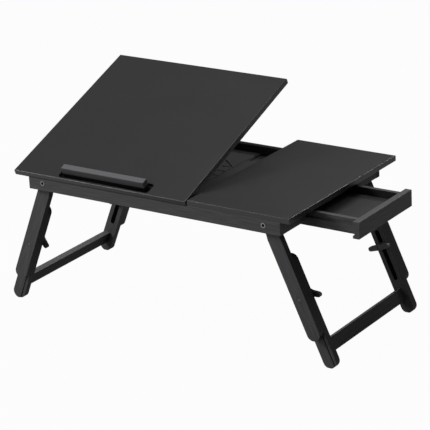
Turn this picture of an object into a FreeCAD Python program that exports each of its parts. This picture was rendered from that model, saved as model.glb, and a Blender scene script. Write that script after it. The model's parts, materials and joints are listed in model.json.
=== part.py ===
import FreeCAD, Part
import os
import Sketcher

# Folding lap desk of black lacquered wood: a tilting panel with a laptop stop, a fixed
# side panel with a drawer under it, and two pairs of folding legs that also slide longer.
# Working frame: X from the left end of the top, Y from its front edge, Z from the floor.
# Every piece is then shifted so that the part's origin is under the middle of the whole.

os.makedirs("parts", exist_ok=True)
doc = FreeCAD.newDocument("LapDesk")

# ---------------------------------------------------------------- driving dimensions (mm)
SIZES = [
    # the top
    ("table_length", 550, "whole top along X"),
    ("table_depth", 340, "whole top along Y"),
    ("table_height", 254, "floor to upper face"),
    ("panel_thick", 9.5, "both top panels"),
    ("panel_round", 1.2, "rounding of the panels' upper edges"),
    ("panel_round_low", 0.5, "rounding of the panels' other edges"),
    ("tilt_length", 353.5, "tilting panel along X"),
    ("panel_gap", 2, "between the two panels"),
    ("tilt_rest", 20.5, "tilt at rest, degrees"),
    ("hinge_back", 6, "hinge axis behind the front edge"),
    ("hinge_down", 7.5, "hinge axis below the upper face"),
    # the frame under the top
    ("rail_thick", 11, "frame rails"),
    ("rail_high", 22.5, "frame rails"),
    ("rail_step", 3.6, "front rail lowered under the tilting panel"),
    ("lip_down", 1.5, "lip left along the lowered rail's front face"),
    ("lip_wide", 0.7, "lip left along the lowered rail's front face"),
    ("lip_foot", 2.4, "lip's slope ends this far behind the front face"),
    ("edge_round", 0.8, "rounding of the rails, legs and drawer pieces"),
    ("inset_left", 29.5, "frame in from the left end"),
    ("inset_right", 17.5, "frame in from the right end"),
    ("inset_back", 26, "frame in from the back edge"),
    ("middle_lap", 3.5, "middle rail under the tilting panel"),
    ("middle_notch", 41, "end notches of the middle rail along Y"),
    ("middle_web", 13.5, "height left over the notches"),
    # board and battens under the tilting panel
    ("board_thick", 6, "vent board"),
    ("board_down", 12.5, "board face below the rail tops"),
    ("board_wide_from", 173, "full depth part starts, from the left rail"),
    ("board_step_from", 259, "lowered part starts, from the left rail"),
    ("board_step", 0.8, "lowered part under the board's face"),
    ("recess_down", 3.2, "deep recess at the back, under the lowered face"),
    ("recess_wide", 39, "deep recess along Y"),
    ("vent_wide", 2.6, "vent slots, and their round ends"),
    ("vent_tip_out", 100.7, "angled vent's tip, from the board's middle"),
    ("vent_tip_back", 220.3, "angled vent's tip, from the frame's front face"),
    ("vent_long_out", 71, "angled vent's long arm, its end"),
    ("vent_long_back", 246.4, "angled vent's long arm, its end"),
    ("vent_short_out", 82.3, "angled vent's short arm, its end"),
    ("vent_short_back", 217, "angled vent's short arm, its end"),
    ("vent_eye_out", 101.5, "round vent beside the angled one"),
    ("vent_eye_back", 209, "round vent beside the angled one"),
    ("vent_bow_in", 88.5, "upper bow, inner end"),
    ("vent_bow_in_back", 195.4, "upper bow, inner end"),
    ("vent_bow_mid", 97.7, "upper bow, bend"),
    ("vent_bow_mid_back", 197.1, "upper bow, bend"),
    ("vent_bow_out", 102, "upper bow, outer end"),
    ("vent_bow_out_back", 194, "upper bow, outer end"),
    ("vent_low_in", 94.7, "lower bow, inner end"),
    ("vent_low_in_back", 174.1, "lower bow, inner end"),
    ("vent_low_out", 101.5, "lower bow, outer end"),
    ("vent_low_out_back", 173, "lower bow, outer end"),
    ("vent_dot_out", 101, "single round vent"),
    ("vent_dot_back", 149.1, "single round vent"),
    ("batten_wide", 10, "battens along Y"),
    # legs
    ("leg_wide", 24.5, "upper and lower legs"),
    ("leg_thick", 12, "upper and lower legs"),
    ("pivot_down", 9, "leg pivots under the panels"),
    ("pivot_left", 29, "left pivots from the frame's left face"),
    ("pivot_right", 31, "right pivots from the frame's right face"),
    ("splay_left", 22.5, "left legs at rest, degrees"),
    ("splay_right", 24, "right legs at rest, degrees"),
    ("leg_head_radius", 8.5, "upper leg at its pivot"),
    ("leg_shoulder", 27, "full width this far from the pivot"),
    ("upper_leg_reach", 205, "pivot to the upper leg's lower end"),
    ("lower_leg_length", 197, "lower leg, end to end"),
    ("foot_flat", 0.6, "foot rounding cut flat on the floor"),
    ("bolt_reach", 133, "pivot to the leg bolt"),
    ("slot_start", 45, "slot from the lower leg's upper end"),
    ("slot_length", 92, "slot in the lower leg"),
    ("slot_wide", 8.4, "slot in the lower leg"),
    ("groove_wide", 3, "line down the lower leg's outer face"),
    ("groove_deep", 1.5, "line down the lower leg's outer face"),
    ("groove_side", 7, "line off the leg's middle"),
    ("rail_clear", 0.4, "rail to upper leg"),
    ("slide_clear", 0.3, "upper leg to lower leg"),
    ("stop_clear", 0.4, "leg edge to the rails that stop it"),
    ("stretcher_wide", 22, "stretcher along the leg"),
    ("stretcher_thick", 10, "stretcher across the leg"),
    ("stretcher_up_left", 18, "left stretcher edge above the foot end"),
    ("stretcher_up_right", 22.5, "right stretcher edge above the foot end"),
    ("stretcher_side", 3, "stretcher off the leg's middle"),
    # bolts, nuts and wing knobs
    ("bolt_radius", 3, "pivot and leg bolt shanks"),
    ("bolt_clear", 0.05, "running fit of the bolts"),
    ("pivot_head_radius", 4.6, "pivot bolt head"),
    ("pivot_head_high", 0.8, "pivot bolt head proud of the rail"),
    ("socket_radius", 2.3, "hexagon socket in the bolt heads"),
    ("socket_deep", 2.4, "hexagon socket in the bolt heads"),
    ("nut_flats", 10, "pivot nut across flats"),
    ("nut_thick", 4, "pivot nut"),
    ("leg_head_wide", 9.5, "leg bolt head"),
    ("leg_head_deep", 3, "leg bolt head, let into the leg"),
    ("hub_radius", 6, "wing knob hub"),
    ("hub_length", 13, "wing knob hub"),
    ("wing_reach", 20.5, "wing tip from the bolt"),
    ("wing_root_radius", 5, "wing beside the hub"),
    ("wing_tip_radius", 4, "wing tip"),
    ("wing_thick", 6, "wing along the bolt"),
    ("knob_front_left", -55, "wing angle at rest, degrees"),
    ("knob_front_right", 0, "wing angle at rest, degrees"),
    ("knob_rear_left", 35, "wing angle at rest, degrees"),
    ("knob_rear_right", 20, "wing angle at rest, degrees"),
    # laptop stop
    ("stop_start", 96, "stop bar from the left end"),
    ("stop_length", 170, "stop bar"),
    ("stop_wide", 20.2, "stop bar, upright height"),
    ("stop_thick", 12, "stop bar"),
    ("stop_round", 1, "stop bar edges"),
    ("stop_axis_back", 21, "stop axis behind the front edge"),
    ("stop_axis_down", 2.8, "stop axis below the upper face"),
    ("stop_axis_face", 3, "stop axis to the bar's back face"),
    ("stop_axis_foot", 5.1, "stop axis to the bar's foot"),
    ("stop_pin_radius", 1.5, "stop pins"),
    ("stop_pin_hold", 8, "stop pins inside panel and bar"),
    ("well_left", 5, "slot beyond the bar's left end"),
    ("well_right", 11, "slot beyond the bar's right end"),
    ("well_front", 3.3, "slot behind the front edge"),
    ("well_wide", 23.7, "slot along Y"),
    ("well_round", 6, "slot corners"),
    # panel hinges
    ("lug_thick", 3, "hinge lug along X"),
    ("lug_radius", 2.2, "hinge lug eye"),
    ("lug_foot_long", 18, "lug foot plate along X"),
    ("lug_foot_wide", 8, "lug foot plate along Y"),
    ("lug_foot_thick", 1.5, "lug foot plate, let into the rail"),
    ("lug_left", 62, "left lug from the left end"),
    ("lug_right_in", 41.5, "right lug from the tilting panel's right end"),
    ("lug_clear", 0.5, "lug to panel"),
    ("hinge_pin_radius", 1.2, "hinge pins"),
    ("hinge_pin_long", 18, "hinge pins"),
    # prop under the tilting panel
    ("prop_middle", 196, "middle of prop and board"),
    ("prop_wide", 115, "prop over its arms"),
    ("prop_reach", 140, "hinge axis to the prop's pivot"),
    ("prop_down", 4.75, "prop pivot under the panel"),
    ("prop_length", 110, "pivot to foot bar"),
    ("bar_clear", 0.7, "foot bar over the racks"),
    ("arm_radius", 4, "prop arms' rounded ends and half height"),
    ("arm_thick", 8, "prop arms along X"),
    ("prop_rod_radius", 2, "prop pivot rod"),
    ("block_long", 16, "pivot block along Y"),
    ("block_thick", 10, "pivot block along X"),
    ("block_high", 9, "pivot block under the panel"),
    ("arm_clear", 0.4, "arm to block"),
    ("rack_wide", 8, "rack strip along X"),
    ("rack_long", 64, "rack strip along Y"),
    ("rack_high", 2.9, "rack strip"),
    ("rack_back", 2, "rack strip from the board's back edge"),
    ("tooth_pitch", 12, "rack notches"),
    ("tooth_deep", 1.6, "rack notches"),
    # drawer
    ("drawer_open", 91, "drawer drawn out at rest"),
    ("drawer_seat", 0.3, "closed front to the frame"),
    ("front_long", 170, "drawer front along Y"),
    ("front_high", 28.5, "drawer front"),
    ("front_thick", 12, "drawer front"),
    ("front_down", 5.3, "drawer front under the panel"),
    ("front_start", 69, "drawer front from the front edge"),
    ("front_overhang", 14, "drawer front past the sides"),
    ("finger_wide", 4, "finger groove"),
    ("finger_deep", 3, "finger groove"),
    ("finger_up", 4.5, "finger groove from the front's lower edge"),
    ("side_thick", 8, "drawer sides and back"),
    ("side_high", 26, "drawer sides and back"),
    ("side_down", 1, "sides under the front's upper edge"),
    ("side_long", 165, "drawer sides"),
    ("floor_down", 13, "floor under the sides' upper edge"),
    ("floor_thick", 4, "drawer floor"),
    ("floor_groove", 3, "floor let into the sides"),
    ("run_down", 5, "runner groove under the side's upper edge"),
    ("run_high", 6.5, "runner groove"),
    ("run_deep", 3, "runner groove"),
    ("run_clear", 0.3, "runner strip in its groove"),
    ("guide_thick", 12, "drawer guides"),
    ("guide_gap", 1, "guide to drawer side"),
    ("stub_cover", 8, "end rail over the guide's end"),
    ("screw_radius", 2.5, "guide screw head"),
    ("screw_head", 2, "guide screw head"),
    ("screw_shank", 1.6, "guide screw shank"),
    ("screw_long", 28, "guide screw"),
    ("screw_down", 13.5, "guide screw under the panels"),
]

# places worked out from the driving dimensions
PLACES = [
    ("rail_top", "table_height - panel_thick"),
    ("rail_low", "rail_top - rail_high"),
    ("frame_right", "table_length - inset_right"),
    ("frame_back", "table_depth - inset_back"),
    ("inner_left", "inset_left + rail_thick"),
    ("inner_right", "frame_right - rail_thick"),
    ("inner_back", "frame_back - rail_thick"),
    ("fixed_start", "tilt_length + panel_gap"),
    ("middle_start", "tilt_length - middle_lap"),
    ("middle_end", "middle_start + rail_thick"),
    ("hinge_z", "table_height - hinge_down"),
    ("board_top", "rail_top - board_down"),
    ("board_low", "board_top - board_thick"),
    ("board_front", "rail_thick + middle_notch"),
    ("board_back", "frame_back - board_front"),
    ("board_wide_start", "inner_left + board_wide_from"),
    ("board_step_start", "inner_left + board_step_from"),
    ("step_top", "board_top - board_step"),
    ("lug_right", "tilt_length - lug_right_in"),
    ("pivot_z", "rail_top - pivot_down"),
    ("pivot_left_x", "inset_left + pivot_left"),
    ("pivot_right_x", "frame_right - pivot_right"),
    ("leg_radius", "leg_wide / 2"),
    ("foot_middle", "leg_radius - foot_flat"),
    ("foot_left", "(pivot_z - foot_middle) / cos(splay_left)"),
    ("foot_right", "(pivot_z - foot_middle) / cos(splay_right)"),
    ("upper_y", "rail_thick + rail_clear"),
    ("lower_y", "upper_y + leg_thick + slide_clear"),
    ("lower_in", "lower_y + leg_thick"),
    ("knob_y", "lower_in + slide_clear"),
    ("well_start", "stop_start - well_left"),
    ("well_long", "stop_length + well_left + well_right"),
    ("step_z", "rail_top - rail_step"),
    ("prop_pivot_y", "hinge_back + prop_reach"),
    ("prop_pivot_z", "rail_top - prop_down"),
    ("prop_world_y", "hinge_back + prop_reach * cos(tilt_rest) + (prop_down + hinge_z - rail_top)"
                     " * sin(tilt_rest)"),
    ("prop_world_z", "hinge_z + prop_reach * sin(tilt_rest) - (prop_down + hinge_z - rail_top)"
                     " * cos(tilt_rest)"),
    ("prop_foot_z", "board_top + rack_high + bar_clear + arm_radius"),
    ("prop_fall", "asin((prop_world_z - prop_foot_z) / prop_length)"),
    ("prop_left", "prop_middle - prop_wide / 2"),
    ("prop_right", "prop_middle + prop_wide / 2"),
    ("front_inner_x", "frame_right + drawer_seat + drawer_open"),
    ("front_outer_x", "front_inner_x + front_thick"),
    ("front_top", "rail_top - front_down"),
    ("side_top", "front_top - side_down"),
    ("side_low", "side_top - side_high"),
    ("side_start", "front_inner_x - side_long"),
    ("side_y", "front_start + front_overhang"),
    ("drawer_wide", "front_long - 2 * front_overhang"),
    ("side_far_y", "side_y + drawer_wide"),
    ("guide_y", "side_y - guide_gap - guide_thick"),
    ("guide_far_y", "side_far_y + guide_gap"),
    ("stub_end", "guide_y + stub_cover"),
    ("stub_far", "guide_far_y + guide_thick - stub_cover"),
    ("screw_front_y", "guide_y + stub_cover / 2 + 1"),
    ("screw_rear_y", "guide_far_y + guide_thick - stub_cover / 2 - 1"),
    ("left_reach", "pivot_left_x - foot_left * sin(splay_left) - leg_radius"),
    ("origin_x", "(left_reach + front_outer_x) / 2"),
    ("origin_y", "table_depth / 2"),
]


def make_sheets():
    """Sizes holds the driving dimensions, Places what follows from them."""
    sizes = doc.addObject("Spreadsheet::Sheet", "Sizes")
    for row, (name, value, note) in enumerate(SIZES, start=1):
        sizes.set(f"A{row}", str(value))
        sizes.setAlias(f"A{row}", name)
        sizes.set(f"B{row}", note)
    doc.recompute()
    places = doc.addObject("Spreadsheet::Sheet", "Places")
    for row, (name, formula) in enumerate(PLACES, start=1):
        places.set(f"A{row}", "=" + full(formula))
        places.setAlias(f"A{row}", name)
        doc.recompute([places])
    doc.recompute()
    return sizes


def full(formula):
    """Give each named value in a formula its sheet: rail_top becomes Places.rail_top."""
    words = []
    for word in str(formula).replace("(", " ( ").replace(")", " ) ").split():
        if word in SIZE_NAMES:
            word = "Sizes." + word
        elif word in PLACE_NAMES:
            word = "Places." + word
        words.append(word)
    formula = " ".join(words).replace("( ", "(").replace(" )", ")")
    for function in ("cos", "sin", "sqrt"):
        formula = formula.replace(function + " (", function + "(")
    return formula


SIZE_NAMES = {name for name, value, note in SIZES}
PLACE_NAMES = {name for name, formula in PLACES}
sizes_sheet = make_sheets()


def value_of(formula):
    """Number that a formula gives now; sketches start from it."""
    found = sizes_sheet.evalExpression(full(formula))
    return float(getattr(found, "Value", found))


def bind(item, **formulas):
    """Bind properties of an object to formulas of named values."""
    for name, formula in formulas.items():
        item.setExpression(name, full(formula))


# ------------------------------------------------------------------------------ placements
ALONG = {"X": "vector(1; 0; 0)", "Y": "vector(0; 1; 0)", "Z": "vector(0; 0; 1)"}


def stand(item, x="0", y="0", z="0", axis="Z", angle="0", centre=("0", "0", "0")):
    """Place a piece in the working frame, turned about a centre, and shift it to the origin."""
    base = f"vector({full(x)} - Places.origin_x; {full(y)} - Places.origin_y; {full(z)})"
    turn = f"rotation({ALONG[axis]}; {full(angle)})"
    middle = "vector(" + "; ".join(full(value) for value in centre) + ")"
    item.setExpression("Placement", f"placement({base}; {turn}; {middle})")
    return item


def stand_tilted(item):
    """Pieces on the tilting panel are drawn flat, and turned about the panel's hinge."""
    return stand(item, axis="X", angle="tilt_rest", centre=("0", "hinge_back", "hinge_z"))


def stand_leg(item, side):
    """Leg pieces are drawn hanging from the pivot, and swung out by the splay."""
    angle = "splay_left" if side == "left" else "-1 * splay_right"
    return stand(item, x=f"pivot_{side}_x", z="pivot_z", axis="Y", angle=angle)


# ------------------------------------------------------------------------- sketches, solids
def new_body(label):
    body = doc.addObject("PartDesign::Body", label)
    body.Label = label
    return body


def new_sketch(body, plane, offset):
    """Sketch on one of the body's own planes, moved along the plane's normal."""
    sketch = body.newObject("Sketcher::SketchObject", body.Name + "_sketch")
    for feature in body.Origin.OriginFeatures:
        if feature.Role == plane + "_Plane":
            sketch.AttachmentSupport = [(feature, "")]
    sketch.MapMode = "FlatFace"
    sketch.setExpression("AttachmentOffset.Base.z", full(offset))
    return sketch


def fix_point(sketch, index, place, x, y):
    """Hold a point of the sketch at two formulas."""
    row = sketch.addConstraint(Sketcher.Constraint("DistanceX", -1, 1, index, place, value_of(x)))
    sketch.setExpression(f"Constraints[{row}]", full(x))
    row = sketch.addConstraint(Sketcher.Constraint("DistanceY", -1, 1, index, place, value_of(y)))
    sketch.setExpression(f"Constraints[{row}]", full(y))


def draw_polygon(sketch, points):
    """Closed outline through corner points, each held at its formulas."""
    spots = [FreeCAD.Vector(value_of(x), value_of(y), 0) for x, y in points]
    count = len(points)
    for number in range(count):
        sketch.addGeometry(Part.LineSegment(spots[number], spots[(number + 1) % count]), False)
    for number in range(count):
        sketch.addConstraint(Sketcher.Constraint("Coincident", number, 2, (number + 1) % count, 1))
    for number, (x, y) in enumerate(points):
        fix_point(sketch, number, 1, x, y)


def draw_box(sketch, x, y, wide, high):
    """Rectangle from its low corner."""
    right = f"({x}) + ({wide})"
    top = f"({y}) + ({high})"
    draw_polygon(sketch, [(x, y), (right, y), (right, top), (x, top)])


def draw_circle(sketch, x, y, radius):
    middle = FreeCAD.Vector(value_of(x), value_of(y), 0)
    circle = Part.Circle(middle, FreeCAD.Vector(0, 0, 1), value_of(radius))
    index = sketch.addGeometry(circle, False)
    fix_point(sketch, index, 3, x, y)
    row = sketch.addConstraint(Sketcher.Constraint("Radius", index, value_of(radius)))
    sketch.setExpression(f"Constraints[{row}]", full(radius))


def draw_hull(sketch, first, second):
    """Outline round two circles, each (x, y, radius), with straight tangent sides."""
    import math
    x0, y0, r0 = [value_of(part) for part in first]
    x1, y1, r1 = [value_of(part) for part in second]
    distance = math.hypot(x1 - x0, y1 - y0)
    heading = math.atan2(y1 - y0, x1 - x0)
    spread = math.acos((r0 - r1) / distance)
    normal = FreeCAD.Vector(0, 0, 1)
    around0 = Part.Circle(FreeCAD.Vector(x0, y0, 0), normal, r0)
    around1 = Part.Circle(FreeCAD.Vector(x1, y1, 0), normal, r1)
    arc0 = Part.ArcOfCircle(around0, heading + spread, heading - spread + 2 * math.pi)
    arc1 = Part.ArcOfCircle(around1, heading - spread, heading + spread)
    sketch.addGeometry(arc0, False)
    sketch.addGeometry(Part.LineSegment(arc0.EndPoint, arc1.StartPoint), False)
    sketch.addGeometry(arc1, False)
    sketch.addGeometry(Part.LineSegment(arc1.EndPoint, arc0.StartPoint), False)
    base = sketch.GeometryCount - 4
    for step in range(4):
        here = base + step
        after = base + (step + 1) % 4
        sketch.addConstraint(Sketcher.Constraint("Tangent", here, 2, after, 1))
    fix_point(sketch, base, 3, first[0], first[1])
    fix_point(sketch, base + 2, 3, second[0], second[1])
    for index, radius in ((base, first[2]), (base + 2, second[2])):
        row = sketch.addConstraint(Sketcher.Constraint("Radius", index, value_of(radius)))
        sketch.setExpression(f"Constraints[{row}]", full(radius))


def pad(body, plane, start, thick, draw, *shape):
    """Add a drawn outline, from start along the plane's axis for thick."""
    offset = f"-1 * (({start}) + ({thick}))" if plane == "XZ" else start
    sketch = new_sketch(body, plane, offset)
    draw(sketch, *shape)
    feature = body.newObject("PartDesign::Pad", body.Name + "_pad")
    feature.Profile = sketch
    feature.setExpression("Length", full(thick))
    return feature


def pocket(body, plane, start, thick, draw, *shape):
    """Cut a drawn outline, over the same stretch that pad would fill."""
    offset = f"-1 * ({start})" if plane == "XZ" else f"({start}) + ({thick})"
    sketch = new_sketch(body, plane, offset)
    draw(sketch, *shape)
    feature = body.newObject("PartDesign::Pocket", body.Name + "_pocket")
    feature.Profile = sketch
    feature.setExpression("Length", full(thick))
    return feature


def dress(body, kind, size, choose):
    """Round or chamfer the edges that choose picks; kind is Fillet or Chamfer."""
    doc.recompute()
    base = body.Tip
    names = [f"Edge{number}" for number, edge in enumerate(base.Shape.Edges, start=1) if choose(edge)]
    feature = body.newObject("PartDesign::" + kind, body.Name + "_" + kind.lower())
    feature.Base = (base, names)
    feature.setExpression("Radius" if kind == "Fillet" else "Size", full(size))
    return feature


SAME_LENGTH = 1e-6


def runs_along(edge, axis):
    """True for a straight edge along X, Y or Z."""
    reach = edge.BoundBox
    spans = {"X": reach.XLength, "Y": reach.YLength, "Z": reach.ZLength}
    return abs(spans[axis] - edge.Length) < SAME_LENGTH


def box(name, x, y, z, length, width, height):
    """Plain bar, unplaced: its corner holds in the working frame."""
    item = doc.addObject("Part::Box", name)
    bind(item, Length=length, Width=width, Height=height)
    item.setExpression("Placement.Base.x", full(x))
    item.setExpression("Placement.Base.y", full(y))
    item.setExpression("Placement.Base.z", full(z))
    return item


def bar(name, axis, x, y, z, length, width, height):
    """Wooden bar, its long edges along the axis eased."""
    body = new_body(name)
    pad(body, "XY", z, height, draw_box, x, y, length, width)
    dress(body, "Fillet", "edge_round", lambda edge: runs_along(edge, axis))
    return body


def rod(name, axis, x, y, z, radius, length):
    """Cylinder along X or Y from its start point."""
    item = doc.addObject("Part::Cylinder", name)
    bind(item, Radius=radius, Height=length)
    turned = {"X": "rotation(vector(0; 1; 0); 90)", "Y": "rotation(vector(1; 0; 0); -90)",
              "Z": "rotation(vector(0; 0; 1); 0)"}[axis]
    item.setExpression("Placement", f"placement(vector({full(x)}; {full(y)}; {full(z)}); {turned})")
    return item


def cut(label, base, tools):
    item = doc.addObject("Part::Cut", label)
    item.Base = base
    item.Tool = tools[0] if len(tools) == 1 else group(label + "_tools", tools)
    item.Refine = True
    item.Label = label
    return item


def fuse(label, shapes):
    item = doc.addObject("Part::MultiFuse", label)
    item.Shapes = shapes
    item.Refine = True
    item.Label = label
    return item


def group(label, shapes):
    """Several separate solids in one piece of the tree."""
    item = doc.addObject("Part::Compound", label)
    item.Links = shapes
    item.Label = label
    return item


NODES = []


def node(item):
    NODES.append(item)
    return item


# --------------------------------------------------------------------------- the top panels
def dress_panel(body):
    """Upper edges rounded more than the lower ones and the corners."""
    dress(body, "Fillet", "panel_round_low", lambda edge: runs_along(edge, "Z"))
    dress(body, "Fillet", "panel_round_low",
          lambda edge: edge.BoundBox.ZMax < value_of("rail_top") + SAME_LENGTH)
    dress(body, "Fillet", "panel_round",
          lambda edge: edge.BoundBox.ZMin > value_of("table_height") - SAME_LENGTH)


def make_fixed_top():
    """Side panel over the drawer."""
    body = new_body("fixed_top")
    pad(body, "XY", "rail_top", "panel_thick", draw_box,
        "fixed_start", "0", "table_length - fixed_start", "table_depth")
    dress_panel(body)
    node(stand(body))


def make_tilt_top():
    """Tilting panel: well for the laptop stop, bores for its pins and for the hinges."""
    body = new_body("tilt_top")
    pad(body, "XY", "rail_top", "panel_thick", draw_box, "0", "0", "tilt_length", "table_depth")
    dress_panel(body)
    pocket(body, "XY", "rail_top", "panel_thick", draw_box,
           "well_start", "well_front", "well_long", "well_wide")
    dress(body, "Fillet", "well_round",
          lambda edge: runs_along(edge, "Z") and edge.Length > value_of("panel_thick") - 0.1)
    for side in ("left", "right"):
        pocket(body, "XY", "rail_top", "hinge_z - rail_top + lug_radius + lug_clear", draw_box,
               f"lug_{side} - lug_thick / 2 - lug_clear", "hinge_back - lug_radius - 3 * lug_clear",
               "lug_thick + 2 * lug_clear", "2 * lug_radius + 4 * lug_clear")
        pocket(body, "YZ", f"lug_{side} - hinge_pin_long / 2", "hinge_pin_long", draw_circle,
               "hinge_back", "hinge_z", "hinge_pin_radius")
    pocket(body, "YZ", "well_start - stop_pin_hold", "well_long + 2 * stop_pin_hold", draw_circle,
           "stop_axis_back", "table_height - stop_axis_down", "stop_pin_radius")
    node(stand_tilted(body))


# ------------------------------------------------------------------------- the frame's rails
def leg_relief(name, side, y, wide):
    """Cutter beside a leg's edge, so that the rail behind it is the leg's stop."""
    item = doc.addObject("Part::Box", name)
    bind(item, Length="leg_radius + stop_clear", Width=wide, Height="3 * rail_high")
    start = "-1 * (leg_radius + stop_clear)" if side == "left" else "0"
    angle = "splay_left" if side == "left" else "-1 * splay_right"
    base = f"vector({full(start)} + Places.pivot_{side}_x; {full(y)}; Places.pivot_z - 3 * Sizes.rail_high)"
    turn = f"rotation(vector(0; 1; 0); {full(angle)})"
    centre = f"vector(-1 * ({full(start)}); 0; 3 * Sizes.rail_high)"
    item.setExpression("Placement", f"placement({base}; {turn}; {centre})")
    return item


def rail_rebate():
    """Cutter that lowers the front rail under the tilting panel, but for a front lip."""
    body = new_body("rail_rebate")
    pad(body, "YZ", "inset_left", "fixed_start - inset_left", draw_polygon,
        [("0", "rail_top"), ("0", "rail_top - lip_down"), ("lip_wide", "rail_top - lip_down"),
         ("lip_foot", "step_z"), ("rail_thick", "step_z"), ("rail_thick", "rail_top")])
    return body


def make_long_rails():
    """Front and back rails with the pivot bores."""
    for label, y in (("front_rail", "0"), ("back_rail", "inner_back")):
        rail = bar(label + "_bar", "X", "inset_left", y, "rail_low",
                   "frame_right - inset_left", "rail_thick", "rail_high")
        tools = []
        for side in ("left", "right"):
            tools.append(rod(f"{label}_bore_{side}", "Y", f"pivot_{side}_x", y, "pivot_z",
                             "bolt_radius", "rail_thick"))
        if label == "front_rail":
            tools.append(rail_rebate())
            tools.extend(lug_foot(f"lug_seat_{side}", side) for side in ("left", "right"))
        node(stand(cut(label, rail, tools)))


def make_end_rails():
    """Left rail, middle rail and the two short rails beside the drawer."""
    band = "leg_thick + rail_clear + slide_clear + leg_thick + slide_clear"
    rail = bar("left_rail_bar", "Y", "inset_left", "rail_thick", "rail_low",
               "rail_thick", "inner_back - rail_thick", "rail_high")
    reliefs = [leg_relief("left_relief_front", "left", "rail_thick", band),
               leg_relief("left_relief_back", "left", f"inner_back - ({band})", band)]
    node(stand(cut("left_end_rail", rail, reliefs)))

    rail = bar("middle_rail_bar", "Y", "middle_start", "rail_thick", "rail_low",
               "rail_thick", "inner_back - rail_thick", "rail_high")
    notch = "rail_high - middle_web"
    ends = [box("middle_notch_front", "middle_start", "rail_thick", "rail_low",
                "rail_thick", "middle_notch", notch),
            box("middle_notch_back", "middle_start", "board_back", "rail_low",
                "rail_thick", "middle_notch", notch)]
    node(stand(cut("middle_rail", rail, ends)))

    for label, y, long in (("right_rail_front", "rail_thick", "stub_end - rail_thick"),
                           ("right_rail_rear", "stub_far", "inner_back - stub_far")):
        rail = bar(label + "_bar", "Y", "inner_right", y, "rail_low", "rail_thick", long,
                   "rail_high")
        start = "rail_thick" if label.endswith("front") else f"inner_back - ({band})"
        tools = [leg_relief(label + "_relief", "right", start, band)]
        screw_y = "screw_front_y" if label.endswith("front") else "screw_rear_y"
        tools.extend(screw_pieces(label + "_seat", screw_y))
        node(stand(cut(label, rail, tools)))


# ------------------------------------------------------------ panel hinges and their pins
def lug_foot(name, side):
    """Foot plate of a hinge lug, let into the stepped rail."""
    return box(name, f"lug_{side} - lug_foot_long / 2", "hinge_back - lug_foot_wide / 2",
               "step_z - lug_foot_thick", "lug_foot_long", "lug_foot_wide", "lug_foot_thick")


def make_hinges():
    """Two lugs stand on the front rail; the panel turns on a pin through each."""
    lugs = []
    for side in ("left", "right"):
        body = new_body(f"hinge_lug_{side}")
        pad(body, "XY", "step_z - lug_foot_thick", "lug_foot_thick", draw_box,
            f"lug_{side} - lug_foot_long / 2", "hinge_back - lug_foot_wide / 2",
            "lug_foot_long", "lug_foot_wide")
        pad(body, "YZ", f"lug_{side} - lug_thick / 2", "lug_thick", draw_box,
            "hinge_back - 0.7 * lug_radius", "step_z - lug_foot_thick / 2",
            "1.4 * lug_radius", "hinge_z - step_z + lug_foot_thick / 2")
        pad(body, "YZ", f"lug_{side} - lug_thick / 2", "lug_thick", draw_circle,
            "hinge_back", "hinge_z", "lug_radius")
        pocket(body, "YZ", f"lug_{side} - lug_thick / 2", "lug_thick", draw_circle,
               "hinge_back", "hinge_z", "hinge_pin_radius + bolt_clear")
        lugs.append(body)
    node(stand(group("hinge_lugs", lugs)))
    pins = [rod(f"hinge_pin_{side}", "X", f"lug_{side} - hinge_pin_long / 2", "hinge_back",
                "hinge_z", "hinge_pin_radius", "hinge_pin_long") for side in ("left", "right")]
    node(stand_tilted(group("hinge_pins", pins)))


# ----------------------------------------------------------------------------- laptop stop
def make_stop():
    """Bar that stands up at the panel's front edge and folds forward into its well."""
    body = new_body("stop_bar")
    pad(body, "YZ", "stop_start", "stop_length", draw_box,
        "stop_axis_back + stop_axis_face - stop_thick",
        "table_height - stop_axis_down - stop_axis_foot", "stop_thick", "stop_wide")
    dress(body, "Fillet", "stop_round", lambda edge: True)
    pocket(body, "YZ", "stop_start", "stop_length", draw_circle,
           "stop_axis_back", "table_height - stop_axis_down", "stop_pin_radius + bolt_clear")
    node(stand_tilted(body))
    left = rod("stop_pin_left", "X", "well_start - stop_pin_hold", "stop_axis_back",
               "table_height - stop_axis_down", "stop_pin_radius", "well_left + 2 * stop_pin_hold")
    right = rod("stop_pin_right", "X", "stop_start + stop_length - stop_pin_hold", "stop_axis_back",
                "table_height - stop_axis_down", "stop_pin_radius", "well_right + 2 * stop_pin_hold")
    node(stand_tilted(group("stop_pins", [left, right])))


# ------------------------------------------------------------------- board, battens, racks
def make_board():
    """Vent board under the tilting panel, on two battens, with the prop's racks on it."""
    body = new_body("vent_board")
    corners = [("inner_left", "board_front"), ("board_wide_start", "board_front"),
               ("board_wide_start", "rail_thick"), ("middle_start", "rail_thick"),
               ("middle_start", "inner_back"), ("board_wide_start", "inner_back"),
               ("board_wide_start", "board_back"), ("inner_left", "board_back")]
    pad(body, "XY", "board_low", "board_thick", draw_polygon, corners)
    pocket(body, "XY", "step_top", "board_step", draw_box, "board_step_start", "rail_thick",
           "middle_start - board_step_start", "inner_back - rail_thick")
    pocket(body, "XY", "step_top - recess_down", "recess_down", draw_box,
           "board_step_start + vent_wide", "inner_back - recess_wide",
           "middle_start - board_step_start - vent_wide", "recess_wide")
    for way in ("+", "-"):
        cut_vents(body, way)
    node(stand(body))
    for label, y in (("batten_front", "board_front"), ("batten_rear", "board_back - batten_wide")):
        batten = box(label, "inner_left", y, "rail_low", "middle_start - inner_left", "batten_wide",
                     "board_low - rail_low")
        batten.Label = label
        node(stand_bar(batten, "inner_left", y, "rail_low"))
    for label, x in (("rack_left", "prop_left + arm_thick + rack_wide / 2"),
                     ("rack_right", "prop_right - arm_thick - 1.5 * rack_wide")):
        make_rack(label, x)


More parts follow.
